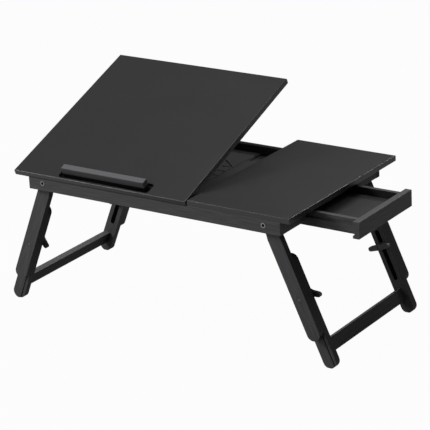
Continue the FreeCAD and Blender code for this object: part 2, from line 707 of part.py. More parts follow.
def cut_vents(body, way):
    """Pattern of slots and holes through one half of the board."""
    def spot(out, back):
        return f"prop_middle {way} {out}", back, "vent_wide / 2"
    slots = [("vent_tip_out", "vent_tip_back", "vent_long_out", "vent_long_back"),
             ("vent_tip_out", "vent_tip_back", "vent_short_out", "vent_short_back"),
             ("vent_bow_in", "vent_bow_in_back", "vent_bow_mid", "vent_bow_mid_back"),
             ("vent_bow_mid", "vent_bow_mid_back", "vent_bow_out", "vent_bow_out_back"),
             ("vent_low_in", "vent_low_in_back", "vent_low_out", "vent_low_out_back")]
    for out, back, far_out, far_back in slots:
        pocket(body, "XY", "board_low", "board_thick", draw_hull, spot(out, back),
               spot(far_out, far_back))
    for out, back in (("vent_eye_out", "vent_eye_back"), ("vent_dot_out", "vent_dot_back")):
        pocket(body, "XY", "board_low", "board_thick", draw_circle, *spot(out, back))


def stand_bar(item, x, y, z):
    """Placement of a plain box that is a piece by itself."""
    item.setExpression("Placement.Base.x", None)
    item.setExpression("Placement.Base.y", None)
    item.setExpression("Placement.Base.z", None)
    return stand(item, x=x, y=y, z=z)


def make_rack(label, x):
    """Strip with a row of slanted notches that catch the prop's foot bar."""
    body = new_body(label)
    far = "board_back - rack_back"
    pad(body, "YZ", x, "rack_wide", draw_box, f"{far} - rack_long", "board_top",
        "rack_long", "rack_high")
    top = "board_top + rack_high"
    back = f"{far} - tooth_pitch / 2"
    notch = [(back, top), (back, f"{top} - tooth_deep"), (f"{back} - tooth_pitch / 2", top)]
    first = pocket(body, "YZ", x, "rack_wide", draw_polygon, notch)
    doc.recompute()
    count = int(value_of("rack_long / tooth_pitch") + SAME_LENGTH)
    pattern = body.newObject("PartDesign::LinearPattern", label + "_pattern")
    pattern.Originals = [first]
    for feature in body.Origin.OriginFeatures:
        if feature.Role == "Y_Axis":
            pattern.Direction = (feature, [""])
    pattern.Reversed = True
    pattern.Occurrences = count
    pattern.setExpression("Length", full(f"tooth_pitch * {count - 1}"))
    body.Tip = pattern
    node(stand(body))


# ------------------------------------------------------------------------------- the prop
def make_prop():
    """Two arms and a foot bar, hung on a rod between blocks under the tilting panel."""
    pieces = []
    for side, x in (("left", "prop_left"), ("right", "prop_right - arm_thick")):
        body = new_body(f"prop_arm_{side}")
        pad(body, "YZ", x, "arm_thick", draw_hull, ("0", "0", "arm_radius"),
            ("prop_length", "0", "arm_radius"))
        pocket(body, "YZ", x, "arm_thick", draw_circle, "0", "0", "prop_rod_radius + bolt_clear")
        pieces.append(body)
    for body in pieces:
        node(stand_prop(body))
    foot = rod("foot_rod", "X", "prop_left + arm_thick", "prop_length", "0",
               "arm_radius", "prop_wide - 2 * arm_thick")
    node(stand_prop(group("prop_foot_bar", [foot])))

    blocks = []
    for side, x in (("left", "prop_left - arm_clear - block_thick"),
                    ("right", "prop_right + arm_clear")):
        block = box(f"block_{side}", x, "prop_pivot_y - block_long / 2", "rail_top - block_high",
                    "block_thick", "block_long", "block_high")
        bore = rod(f"block_bore_{side}", "X", x, "prop_pivot_y", "prop_pivot_z",
                   "prop_rod_radius", "block_thick")
        blocks.append(cut(f"prop_block_{side}", block, [bore]))
    node(stand_tilted(group("prop_blocks", blocks)))
    shaft = rod("rod_shaft", "X", "prop_left - arm_clear - block_thick", "prop_pivot_y",
                "prop_pivot_z", "prop_rod_radius", "prop_wide + 2 * arm_clear + 2 * block_thick")
    node(stand_tilted(group("prop_rod", [shaft])))


def stand_prop(item):
    """Prop pieces are drawn from their pivot along Y, turned down from the tilted panel."""
    return stand(item, y="prop_world_y", z="prop_world_z", axis="X", angle="-1 * prop_fall")


# ------------------------------------------------------------------------------------ legs
def leg_row(row):
    """Where a front or rear leg's pieces lie along Y."""
    if row == "front":
        return {"upper": "upper_y", "lower": "lower_y"}
    return {"upper": "frame_back - upper_y - leg_thick", "lower": "frame_back - lower_in"}


def make_upper_leg(side, row):
    """Outer leg: narrow at the pivot so that it folds flat under the panels."""
    body = new_body(f"{side}_upper_leg_{row}")
    y = leg_row(row)["upper"]
    pad(body, "XZ", y, "leg_thick", draw_hull, ("0", "-1 * leg_shoulder", "leg_radius"),
        ("0", "leg_radius - upper_leg_reach", "leg_radius"))
    pad(body, "XZ", y, "leg_thick", draw_hull, ("0", "0", "leg_head_radius"),
        ("0", "-1 * leg_shoulder", "leg_radius"))
    pocket(body, "XZ", y, "leg_thick", draw_circle, "0", "0", "bolt_radius + bolt_clear")
    pocket(body, "XZ", y, "leg_thick", draw_circle, "0", "-1 * bolt_reach", "bolt_radius")
    head = y if row == "front" else f"{y} + leg_thick - leg_head_deep"
    pocket(body, "XZ", head, "leg_head_deep", draw_circle, "0", "-1 * bolt_reach",
           "leg_head_wide / 2")
    node(stand_leg(body, side))


def make_lower_leg(side, row):
    """Inner leg: slides along the leg bolt, its foot cut flat for the floor."""
    body = new_body(f"{side}_lower_leg_{row}_bar")
    y = leg_row(row)["lower"]
    top = f"lower_leg_length - foot_{side} - 2 * leg_radius"
    foot = f"-1 * foot_{side}"
    pad(body, "XZ", y, "leg_thick", draw_hull, ("0", top, "leg_radius"), ("0", foot, "leg_radius"))
    slot_top = f"{top} + leg_radius - slot_start - slot_wide / 2"
    pocket(body, "XZ", y, "leg_thick", draw_hull, ("0", slot_top, "slot_wide / 2"),
           ("0", f"{slot_top} - slot_length + slot_wide", "slot_wide / 2"))
    face = y if row == "front" else f"{y} + leg_thick - groove_deep"
    pocket(body, "XZ", face, "groove_deep", draw_box, "groove_side - groove_wide / 2",
           f"{foot} - leg_radius", "groove_wide", "lower_leg_length")
    way = 1 if side == "left" else -1
    sole = doc.addObject("Part::Box", f"{side}_sole_{row}")
    bind(sole, Length="4 * leg_wide", Width="leg_thick", Height="leg_wide")
    stand(sole, x=f"pivot_{side}_x - ({way}) * foot_{side} * sin(splay_{side}) - 2 * leg_wide", y=y,
          z="-1 * leg_wide")
    node(cut(f"{side}_lower_leg_{row}", stand_leg(body, side), [sole]))


def make_stretcher(side):
    """Flat bar that joins the two lower legs of a pair."""
    item = doc.addObject("Part::Box", f"{side}_stretcher")
    bind(item, Length="stretcher_thick", Width="frame_back - 2 * lower_in", Height="stretcher_wide")
    item.Label = f"{side}_stretcher"
    x = "-1 * (stretcher_side + stretcher_thick / 2)"
    z = f"stretcher_up_{side} - foot_{side} - leg_radius"
    angle = "splay_left" if side == "left" else "-1 * splay_right"
    stand(item, x=f"pivot_{side}_x + ({x})", y="lower_in", z=f"pivot_z + ({z})", axis="Y",
          angle=angle, centre=(f"-1 * ({x})", "0", f"-1 * ({z})"))
    node(item)


def make_knob(side, row):
    """Wing knob on the leg bolt, inside the lower leg."""
    body = new_body(f"{side}_wing_knob_{row}")
    start = "knob_y" if row == "front" else "frame_back - knob_y - hub_length"
    wing = "knob_y + hub_length - wing_thick" if row == "front" else start
    pad(body, "XZ", start, "hub_length", draw_circle, "0", "0", "hub_radius")
    for way in ("", "-1 * "):
        pad(body, "XZ", wing, "wing_thick", draw_hull, ("0", "0", "wing_root_radius"),
            (f"{way}(wing_reach - wing_tip_radius)", "0", "wing_tip_radius"))
    pocket(body, "XZ", start, "hub_length", draw_circle, "0", "0", "bolt_radius + bolt_clear")
    way = "-1" if side == "left" else "1"
    x = f"pivot_{side}_x + ({way}) * bolt_reach * sin(splay_{side})"
    z = f"pivot_z - bolt_reach * cos(splay_{side})"
    node(stand(body, x=x, z=z, axis="Y", angle=f"-1 * knob_{row}_{side}"))


def socket_bolt(name, row, x, z, head_start, head_radius, head_long, shank_long):
    """Bolt along Y with a round head and a hexagon socket, head outward."""
    body = new_body(name)
    if row == "front":
        head = head_start
        shank = f"{head_start} + ({head_long})"
        socket = head_start
    else:
        head = f"frame_back - ({head_start}) - ({head_long})"
        shank = f"{head} - ({shank_long})"
        socket = f"frame_back - ({head_start}) - socket_deep"
    pad(body, "XZ", head, head_long, draw_circle, x, z, head_radius)
    pad(body, "XZ", shank, shank_long, draw_circle, x, z, "bolt_radius")
    half = "socket_radius * 0.5"
    side = "socket_radius * 0.866"
    corners = [("1", "0"), ("half", "side"), ("-half", "side"), ("-1", "0"), ("-half", "-side"),
               ("half", "-side")]
    hexagon = []
    for across, up in corners:
        across = {"1": "socket_radius", "-1": "-1 * socket_radius", "half": half,
                  "-half": f"-1 * {half}"}[across]
        up = {"0": "0", "side": side, "-side": f"-1 * {side}"}[up]
        hexagon.append((f"({x}) + ({across})", f"({z}) + ({up})"))
    pocket(body, "XZ", socket, "socket_deep", draw_polygon, hexagon)
    return body


def make_pivot_bolts():
    """Four bolts from the rails into the upper legs, each with its nut inside."""
    bolts = []
    nuts = []
    for row in ("front", "rear"):
        for side in ("left", "right"):
            x = f"pivot_{side}_x"
            long = "upper_y + leg_thick + slide_clear + nut_thick + 1"
            bolts.append(socket_bolt(f"pivot_bolt_{side}_{row}", row, x, "pivot_z",
                                     "-1 * pivot_head_high", "pivot_head_radius",
                                     "pivot_head_high", long))
            start = "upper_y + leg_thick + slide_clear"
            if row == "rear":
                start = f"frame_back - ({start}) - nut_thick"
            nut = doc.addObject("Part::Prism", f"nut_prism_{side}_{row}")
            nut.Polygon = 6
            bind(nut, Circumradius="nut_flats / sqrt(3)", Height="nut_thick")
            base = f"vector({full(x)}; {full(start)}; {full('pivot_z')})"
            nut.setExpression("Placement", f"placement({base}; rotation(vector(1; 0; 0); -90))")
            bore = rod(f"nut_bore_{side}_{row}", "Y", x, start, "pivot_z", "bolt_radius", "nut_thick")
            nuts.append(cut(f"pivot_nut_{side}_{row}", nut, [bore]))
    node(stand(group("pivot_bolts", bolts)))
    node(stand(group("pivot_nuts", nuts)))


def make_leg_bolts(side):
    """Bolts that clamp upper and lower leg, flush in the upper leg's outer face."""
    bolts = []
    for row in ("front", "rear"):
        long = "knob_y + hub_length - 2 - upper_y - leg_head_deep"
        bolts.append(socket_bolt(f"{side}_leg_bolt_{row}", row, "0", "-1 * bolt_reach", "upper_y",
                                 "leg_head_wide / 2", "leg_head_deep", long))
    node(stand_leg(group(f"{side}_leg_bolts", bolts), side))


# ---------------------------------------------------------------------------------- drawer
def screw_pieces(name, y):
    """Guide screw along X: head flush in the end rail, shank into the guide."""
    z = "rail_top - screw_down"
    head = rod(name + "_head", "X", "frame_right - screw_head", y, z, "screw_radius", "screw_head")
    shank = rod(name + "_shank", "X", "frame_right - screw_long", y, z, "screw_shank",
                "screw_long - screw_head")
    return [head, shank]


def make_guides():
    """Bars beside the drawer, each with the strip that the drawer runs on."""
    far = "guide_far_y"
    for row, y, strip_y in (("front", "guide_y", "guide_y + guide_thick"),
                            ("rear", far, f"{far} - guide_gap - run_deep + run_clear")):
        label = f"drawer_guide_{row}"
        guide = bar(label + "_bar", "X", "middle_end", y, "rail_low", "inner_right - middle_end",
                    "guide_thick", "rail_high")
        tools = screw_pieces(label + "_bore", f"screw_{row}_y")
        node(stand(cut(label, guide, tools)))
        strip = box(f"runner_strip_{row}", "0", "0", "0", "inner_right - middle_end",
                    "guide_gap + run_deep - run_clear", "run_high - 2 * run_clear")
        strip.Label = f"runner_strip_{row}"
        z = "side_top - run_down - run_high + run_clear"
        node(stand_bar(strip, "middle_end", strip_y, z))
    screws = [fuse(f"guide_screw_{row}", screw_pieces(f"guide_screw_{row}", f"screw_{row}_y"))
              for row in ("front", "rear")]
    node(stand(group("guide_screws", screws)))


def make_drawer():
    """Shallow tray hung by grooves in its sides, with an overhanging front."""
    front = bar("front_board", "Y", "front_inner_x", "front_start", "front_top - front_high",
                "front_thick", "front_long", "front_high")
    groove = box("finger_groove", "front_inner_x", "front_start",
                 "front_top - front_high + finger_up", "finger_deep", "front_long", "finger_wide")
    node(stand(cut("drawer_front", front, [groove])))
    run_z = "side_top - run_down - run_high"
    floor_z = "side_top - floor_down - floor_thick"
    for row, y, outer, inner in (
            ("front", "side_y", "side_y", "side_y + side_thick - floor_groove"),
            ("rear", "side_far_y - side_thick", "side_far_y - run_deep",
             "side_far_y - side_thick")):
        side = bar(f"side_bar_{row}", "X", "side_start", y, "side_low", "side_long", "side_thick",
                   "side_high")
        run = box(f"side_run_{row}", "side_start", outer, run_z, "side_long", "run_deep", "run_high")
        slot = box(f"side_slot_{row}", "side_start + side_thick", inner, floor_z,
                   "side_long - side_thick", "floor_groove", "floor_thick")
        node(stand(cut(f"drawer_side_{row}", side, [run, slot])))
    back = bar("drawer_back", "Y", "side_start", "side_y + side_thick", "side_low", "side_thick",
               "drawer_wide - 2 * side_thick", "side_high")
    node(stand(back))
    floor = box("drawer_floor", "0", "0", "0", "side_long - side_thick",
                "drawer_wide - 2 * (side_thick - floor_groove)", "floor_thick")
    floor.Label = "drawer_floor"
    node(stand_bar(floor, "side_start + side_thick", "side_y + side_thick - floor_groove", floor_z))


# ------------------------------------------------------------------------------- assembly
make_fixed_top()
make_tilt_top()
make_long_rails()
make_end_rails()
make_hinges()
make_stop()
make_board()
make_prop()
make_pivot_bolts()
for leg_side in ("left", "right"):
    for leg_end in ("front", "rear"):
        make_upper_leg(leg_side, leg_end)
        make_lower_leg(leg_side, leg_end)
        make_knob(leg_side, leg_end)
    make_leg_bolts(leg_side)
    make_stretcher(leg_side)
make_guides()
make_drawer()
doc.recompute()

for item in doc.Objects:
    if "Invalid" in item.State or "Error" in item.State:
        raise RuntimeError(f"{item.Label} failed: {item.State}")
for piece in NODES:
    if piece.Shape.isNull() or not piece.Shape.isValid():
        raise RuntimeError(f"{piece.Label} has no valid shape")
for piece in NODES:
    piece.Shape.exportStep(f"parts/{piece.Label}.step")
print(len(NODES), "pieces written")
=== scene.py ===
# %% [markdown]
# A folding lap desk in black lacquered wood: a tilting panel for a laptop, a fixed side panel
# with a shallow drawer under it, and two pairs of splayed legs. The wooden pieces, bolts and
# knobs arrive as solids at their real size. This lesson gives them their finishes, and sets
# up a small studio round them.

# %% Load the pieces
import json
import math

import bpy
from mathutils import Matrix, Vector

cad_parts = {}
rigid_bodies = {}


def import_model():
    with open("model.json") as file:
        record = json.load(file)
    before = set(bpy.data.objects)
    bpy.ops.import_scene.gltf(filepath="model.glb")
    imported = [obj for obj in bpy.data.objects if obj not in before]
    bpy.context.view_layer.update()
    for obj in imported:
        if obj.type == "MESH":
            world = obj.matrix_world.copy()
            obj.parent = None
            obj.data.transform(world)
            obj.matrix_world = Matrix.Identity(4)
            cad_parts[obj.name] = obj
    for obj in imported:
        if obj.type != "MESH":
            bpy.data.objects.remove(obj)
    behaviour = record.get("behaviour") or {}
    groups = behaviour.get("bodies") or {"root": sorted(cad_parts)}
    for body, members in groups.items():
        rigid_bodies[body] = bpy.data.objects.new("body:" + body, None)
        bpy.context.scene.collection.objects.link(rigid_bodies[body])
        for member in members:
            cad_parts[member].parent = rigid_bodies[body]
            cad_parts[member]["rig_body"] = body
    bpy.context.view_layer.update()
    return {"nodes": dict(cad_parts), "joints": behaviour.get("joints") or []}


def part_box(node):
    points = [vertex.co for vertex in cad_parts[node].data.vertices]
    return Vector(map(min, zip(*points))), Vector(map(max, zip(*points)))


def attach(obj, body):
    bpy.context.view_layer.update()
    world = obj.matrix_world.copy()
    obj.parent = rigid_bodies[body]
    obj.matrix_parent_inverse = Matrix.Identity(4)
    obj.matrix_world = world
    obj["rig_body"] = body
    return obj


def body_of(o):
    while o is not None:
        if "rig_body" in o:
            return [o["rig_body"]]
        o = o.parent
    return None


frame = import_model()
MM = 0.001

# %% [markdown]
# Colours are written as the hex values that a maker would read off a swatch. Cycles works in
# linear light, so one function turns a hex value into linear red, green and blue. The linear
# numbers could be typed instead, but nobody can check those by eye.

# %% Swatches to linear light
SWEEP_GREY = "6C6C6C"
PAPER_WHITE = "FFFFFF"


def linear(swatch):
    """Linear RGBA of an sRGB hex value such as 3A3A3B."""
    channels = []
    for start in (0, 2, 4):
        value = int(swatch[start:start + 2], 16) / 255
        channels.append(value / 12.92 if value <= 0.04045 else ((value + 0.055) / 1.055) ** 2.4)
    return (*channels, 1.0)


print("the studio floor's grey in linear light:", round(linear(SWEEP_GREY)[0], 3))

# %% [markdown]
# A node material is a small graph. It could be drawn by hand in the shader editor; in a script,
# one helper adds a node, fills in its settings and joins its inputs, so that each recipe below
# reads from the pattern to the surface.


# %% One helper for nodes
def add_node(material, kind, settings=None, inputs=None):
    """Add a node; inputs holds plain values, or (node, socket) pairs to link from."""
    tree = material.node_tree
    node = tree.nodes.new(kind)
    for name, value in (settings or {}).items():
        setattr(node, name, value)
    for name, value in (inputs or {}).items():
        if isinstance(value, tuple) and len(value) == 2 and isinstance(value[0], bpy.types.Node):
            tree.links.new(value[0].outputs[value[1]], node.inputs[name])
        else:
            node.inputs[name].default_value = value
    return node


print("helper ready: add_node(material, kind, settings, inputs)")

# %% [markdown]
# Every material starts empty and ends in an output, and every pattern has a size in
# millimetres. Three more helpers say so once.


# %% Starting, closing and scaling a material
def new_material(name):
    """A node material with nothing in it yet."""
    material = bpy.data.materials.new(name)
    material.use_nodes = True
    material.node_tree.nodes.clear()
    return material


def finish_material(material, shader):
    """Join the shader to the output, and say what was made."""
    add_node(material, "ShaderNodeOutputMaterial", inputs={"Surface": (shader, "BSDF")})
    print("finish:", material.name, len(material.node_tree.nodes), "nodes")
    return material


def per_mm(size_mm):
    """Texture scale that makes one feature of a pattern about size_mm across."""
    return 1 / (size_mm * MM)


print("a pattern of 2 mm has a texture scale of", per_mm(2))

# %% [markdown]
# The wood is sprayed with black lacquer and rubbed down between coats. On rails, legs and
# drawer the close grain still telegraphs through the film, long along each piece and short
# across it. A scan of real wood could be wrapped round each piece, but its seams would show at
# the corners. A solid noise pattern drawn out along the piece has none, and each direction of
# wood gets its own copy of the finish. Real grain lines lie about 0.3 mm apart, too fine to
# show at this distance, so they are drawn three times as coarse.

# %% Grain under the lacquer
GRAIN_ACROSS_MM = 0.9
GRAIN_LENGTH_MM = 40
ALONG_X = (0, 0, 0)
ALONG_Y = (0, 0, math.radians(90))


def wood_grain(material, where, turn):
    """Noise drawn out along the piece; turn rotates it from the X axis."""
    along = add_node(material, "ShaderNodeMapping", {"vector_type": "TEXTURE"},
                     {"Vector": (where, "Object"), "Rotation": turn,
                      "Scale": (GRAIN_LENGTH_MM / GRAIN_ACROSS_MM, 1, 1)})
    return add_node(material, "ShaderNodeTexNoise", inputs={
        "Vector": (along, "Vector"), "Scale": per_mm(GRAIN_ACROSS_MM), "Detail": 3.0})


print("grain lines", GRAIN_ACROSS_MM, "mm apart and", GRAIN_LENGTH_MM, "mm long")

# %% [markdown]
# Three tones on the lacquer are painted light and shade. Upper faces are painted a shade
# lighter, as painted light from above. A leg's narrow sides are painted darker, as painted shade.
# The foot of the laptop stop is painted black, as painted shade where it stands in its slot. Each
# could be a material of its own on hand-picked faces. A blend of two tones, steered by where a
# face looks or where it lies, needs no picking, and turns with the piece.

# %% Tones that follow the faces
# A Mix node has numbers and colours under the same names, so its colour sockets go by number.
COLOUR_MIX = {"data_type": "RGBA"}
SHARE, FIRST, SECOND = 0, 6, 7
MIXED = 2
# Upper faces turn lighter between these shares of straight up: painted light.
TOP_LIGHT_STARTS, TOP_LIGHT_FULL = 0.75, 0.92
# Faces that look less along Y than these shares take the painted shade.
BROAD_STARTS, BROAD_FULL = 0.5, 0.8
# Painted shade: the black at the stop's foot, where its slot shades it.
FOOT_SHADE_BLACK = "080808"


def painted_top_light(material, facing, tone, top_light):
    """Painted light: change to a lighter tone on faces that look up."""
    upward = add_node(material, "ShaderNodeMapRange", inputs={
        "Value": (facing, "Z"), "From Min": TOP_LIGHT_STARTS, "From Max": TOP_LIGHT_FULL})
    return add_node(material, "ShaderNodeMix", COLOUR_MIX, {
        FIRST: (tone, MIXED), SECOND: linear(top_light), SHARE: (upward, "Result")})


def painted_side_shade(material, facing, tone, edge):
    """Painted shade: keep the tone on faces that look along Y, and change to a darker tone on the
    others.
    """
    sideways = add_node(material, "ShaderNodeMath", {"operation": "ABSOLUTE"},
                        {0: (facing, "Y")})
    broad = add_node(material, "ShaderNodeMapRange", inputs={
        "Value": (sideways, "Value"), "From Min": BROAD_STARTS, "From Max": BROAD_FULL})
    return add_node(material, "ShaderNodeMix", COLOUR_MIX, {
        FIRST: linear(edge), SECOND: (tone, MIXED), SHARE: (broad, "Result")})


def painted_foot_shade(material, where, tone, foot):
    """Painted shade, black low on a bar; foot is (point, way up the bar, last shaded mm, first
    clear mm).
    """
    point, way_up, shaded_mm, clear_mm = foot
    above = add_node(material, "ShaderNodeVectorMath", {"operation": "SUBTRACT"},
                     {0: (where, "Object"), 1: point})
    risen = add_node(material, "ShaderNodeVectorMath", {"operation": "DOT_PRODUCT"},
                     {0: (above, "Vector"), 1: way_up})
    clear = add_node(material, "ShaderNodeMapRange", inputs={
        "Value": (risen, "Value"), "From Min": shaded_mm * MM, "From Max": clear_mm * MM})
    return add_node(material, "ShaderNodeMix", COLOUR_MIX, {
        FIRST: linear(FOOT_SHADE_BLACK), SECOND: (tone, MIXED), SHARE: (clear, "Result")})


print("upper faces change tone from", TOP_LIGHT_STARTS, "to", TOP_LIGHT_FULL, "of straight up")

# %% [markdown]
# The film is a nitrocellulose lacquer, with an index of refraction near 1.48, sprayed nearly
# matt. Rubbing down leaves slow clouds of rougher and smoother film, some 70 mm across, and the
# spray itself an orange peel of low bumps a third of a millimetre wide. Both stay faint: the
# eye sees an even charcoal with a soft sheen. The bumps are in the shading and not in the mesh,
# because they are far too low to change an outline.

# %% Black lacquered wood
# The third tone of each set is for upper faces: painted light.
BAR = ("505052", "3C3C3D", "525254")
LACQUER_IOR = 1.48
STREAK_STARTS, STREAK_FULL = 0.35, 0.65
CLOUD_MM = 70
CLOUD_ROUGHER = 0.08
RIDGE_HIGH_MM = 0.05
PEEL_MM = 0.35
PEEL_HIGH_MM = 0.02


def lacquered_wood(name, turn, tones=BAR, rough=0.42, shine=0.18, relief=0.12, peel=0.08,
                   edge=None, foot=None):
    """Black lacquer over grain; tones are light grain, dark grain and painted light on upper
    faces.
    """
    light, dark, top_light = tones
    material = new_material(name)
    where = add_node(material, "ShaderNodeTexCoord")
    facing = add_node(material, "ShaderNodeSeparateXYZ", inputs={"Vector": (where, "Normal")})
    grain = wood_grain(material, where, turn)
    streak = add_node(material, "ShaderNodeMapRange", inputs={
        "Value": (grain, "Fac"), "From Min": STREAK_STARTS, "From Max": STREAK_FULL})
    tone = add_node(material, "ShaderNodeMix", COLOUR_MIX, {
        FIRST: linear(dark), SECOND: linear(light), SHARE: (streak, "Result")})
    tone = painted_top_light(material, facing, tone, top_light)
    if edge:
        tone = painted_side_shade(material, facing, tone, edge)
    if foot:
        tone = painted_foot_shade(material, where, tone, foot)
    cloud = add_node(material, "ShaderNodeTexNoise", inputs={
        "Vector": (where, "Object"), "Scale": per_mm(CLOUD_MM), "Detail": 2.0})
    rubbed = add_node(material, "ShaderNodeMapRange", inputs={
        "Value": (cloud, "Fac"), "To Min": rough, "To Max": rough + CLOUD_ROUGHER})
    film = add_node(material, "ShaderNodeTexNoise", inputs={
        "Vector": (where, "Object"), "Scale": per_mm(PEEL_MM), "Detail": 1.0})
    ridges = add_node(material, "ShaderNodeBump", inputs={
        "Height": (grain, "Fac"), "Strength": relief, "Distance": RIDGE_HIGH_MM * MM})
    skin = add_node(material, "ShaderNodeBump", inputs={
        "Height": (film, "Fac"), "Strength": peel, "Distance": PEEL_HIGH_MM * MM,
        "Normal": (ridges, "Normal")})
    return finish_material(material, add_node(material, "ShaderNodeBsdfPrincipled", inputs={
        "Base Color": (tone, MIXED), "Roughness": (rubbed, "Result"), "IOR": LACQUER_IOR,
        "Specular IOR Level": shine, "Normal": (skin, "Normal")}))


wood_x = lacquered_wood("black_lacquered_wood_long", ALONG_X)
wood_y = lacquered_wood("black_lacquered_wood_cross", ALONG_Y)

# %% [markdown]
# The same recipe gives the other blacks of the desk. The drawer's rear side and the stretchers
# are darker copies, painted shade, with lighter upper faces as painted light. The back rail's top
# is painted darker, as painted shade, and is dull. The two panels are faced with a smooth sheet:
# their lacquer shows no grain, is the darkest, and is polished to a clearer gloss.

# %% Darker sticks and smooth panels
# Darker copies for the drawer's rear side and the stretchers: painted shade; their upper faces
# are painted light.
SHADED_DRAWER_SIDE = ("1E1E1F", "161617", "4A4A4C")
SHADED_STRETCHER = ("3A3A3C", "2C2C2D", "626264")
# The back rail's third tone, on its top, is painted shade.
BACK_RAIL_SHADED_TOP = ("505052", "3C3C3D", "242425")
PANEL = ("272728", "232324", "272728")
shaded_x = lacquered_wood("black_lacquered_drawer_side_painted_shade", ALONG_X, SHADED_DRAWER_SIDE)
shaded_y = lacquered_wood("black_lacquered_stretcher_painted_shade", ALONG_Y, SHADED_STRETCHER, shine=0.12)
back_rail_shaded_top = lacquered_wood("black_lacquered_back_rail_shaded_top", ALONG_X, BACK_RAIL_SHADED_TOP, shine=0.08)
panel_black = lacquered_wood("black_lacquered_panel", ALONG_X, PANEL, rough=0.26, shine=0.5,
                             relief=0.0, peel=0.0)

# %% [markdown]
# The laptop stop stands in the panel's slot, square to the panel, which slopes 20.5 degrees. Its
# foot is painted black, as painted shade where the slot shades it. It could be cut in two for
# that foot. It stays whole, as the real bar is, and the height at which the black begins is
# measured from its joint, up the bar.

# %% The laptop stop
# The stop's third tone, on its upper faces, is painted light.
STOP = ("48484A", "3E3E3F", "5C5C5E")
PANEL_SLOPE = math.radians(20.5)
# The stop's foot is painted shade up to these heights.
SHADE_UP_TO_MM, CLEAR_FROM_MM = 3.4, 5.0
stop_joint = next(joint for joint in frame["joints"] if joint["name"] == "stop_fold")
up_the_stop = (0, -math.sin(PANEL_SLOPE), math.cos(PANEL_SLOPE))
stop_black = lacquered_wood("black_lacquered_stop", ALONG_X, STOP, foot=(
    stop_joint["pos_m"], up_the_stop, SHADE_UP_TO_MM, CLEAR_FROM_MM))

# %% [markdown]
# Each leg leans, and its grain leans with it. The angle could be typed, but it is read from the
# joints that the feet slide along, so the grain follows if the legs change.

# %% Grain along the legs
# Painted shade: the darker tone of the legs' narrow sides.
LEG_SIDE_SHADE = "2A2A2B"
slides = {joint["name"].split("_")[0]: joint["axis"] for joint in frame["joints"]
          if joint["name"].endswith("_leg_extend")}
leg_wood = {}
for side, slide in slides.items():
    lean = math.atan2(slide[2], slide[0])
    leg_wood[side] = lacquered_wood(f"black_lacquered_wood_{side}_leg", (0, -lean, 0),
                                    edge=LEG_SIDE_SHADE)
    print(side, "legs lean", round(90 - math.degrees(lean), 1), "degrees")

# %% [markdown]
# The drawer floor and the board under the panel are thin hardboard, sprayed in the same black.
# Pressed fibre has no grain: it shows as a fine even mottle, a little flatter than the wood.
# Noise that isn't drawn out gives that mottle. Real bundles of fibre are a few tenths of a
# millimetre wide, and are drawn coarser, to show. The board with the cut-outs is a lighter copy,
# painted light that lifts it out of the tilting panel's shade, and is the greyer of the two.

# %% Black hardboard
FIBRE_MM = 1.2
FIBRE_HIGH_MM = 0.05
BOARD_IOR = 1.45


def pressed_board(name, dark, light):
    """Hardboard with a fine even mottle between two tones."""
    material = new_material(name)
    where = add_node(material, "ShaderNodeTexCoord")
    fibre = add_node(material, "ShaderNodeTexNoise", inputs={
        "Vector": (where, "Object"), "Scale": per_mm(FIBRE_MM), "Detail": 4.0})
    tone = add_node(material, "ShaderNodeMix", COLOUR_MIX, {
        FIRST: linear(dark), SECOND: linear(light), SHARE: (fibre, "Fac")})
    pressed = add_node(material, "ShaderNodeBump", inputs={
        "Height": (fibre, "Fac"), "Strength": 0.15, "Distance": FIBRE_HIGH_MM * MM})
    return finish_material(material, add_node(material, "ShaderNodeBsdfPrincipled", inputs={
        "Base Color": (tone, MIXED), "Roughness": 0.55, "IOR": BOARD_IOR,
        "Specular IOR Level": 0.3, "Normal": (pressed, "Normal")}))


drawer_board = pressed_board("black_drawer_board", "2B2B2C", "333334")
# The vent board's lighter tones are painted light, against the tilting panel's shade.
vent_board = pressed_board("painted_light_vent_board", "505052", "5A5A5C")

# %% [markdown]
# Bolts, pins and rods are turned or drawn steel. Every one is finely scuffed: real scuffs are
# hundredths of a millimetre wide, so they are drawn coarser, to show, and longer on drawn bar.
# The pivot bolts have a socket in the head, painted black as painted shade. The leg bolts were
# lacquered with the wood and sit in a counterbore, with a ring of painted shade round the head;
# there the light meets the film and not the metal, so metallic is 0. Sockets and rims could be
# left to shadow alone. They are a few pixels wide here, so a ring of black about the bolt's axis
# is clearer.

# %% Turned and drawn steel
SCUFF_MM = 0.4
# Black of the painted shade in sockets and round sunk heads.
RING_SHADE_BLACK = "060606"
SOCKET_MM = 2.5
RIM_MM = 3.3
RIM_WIDE_MM = 2


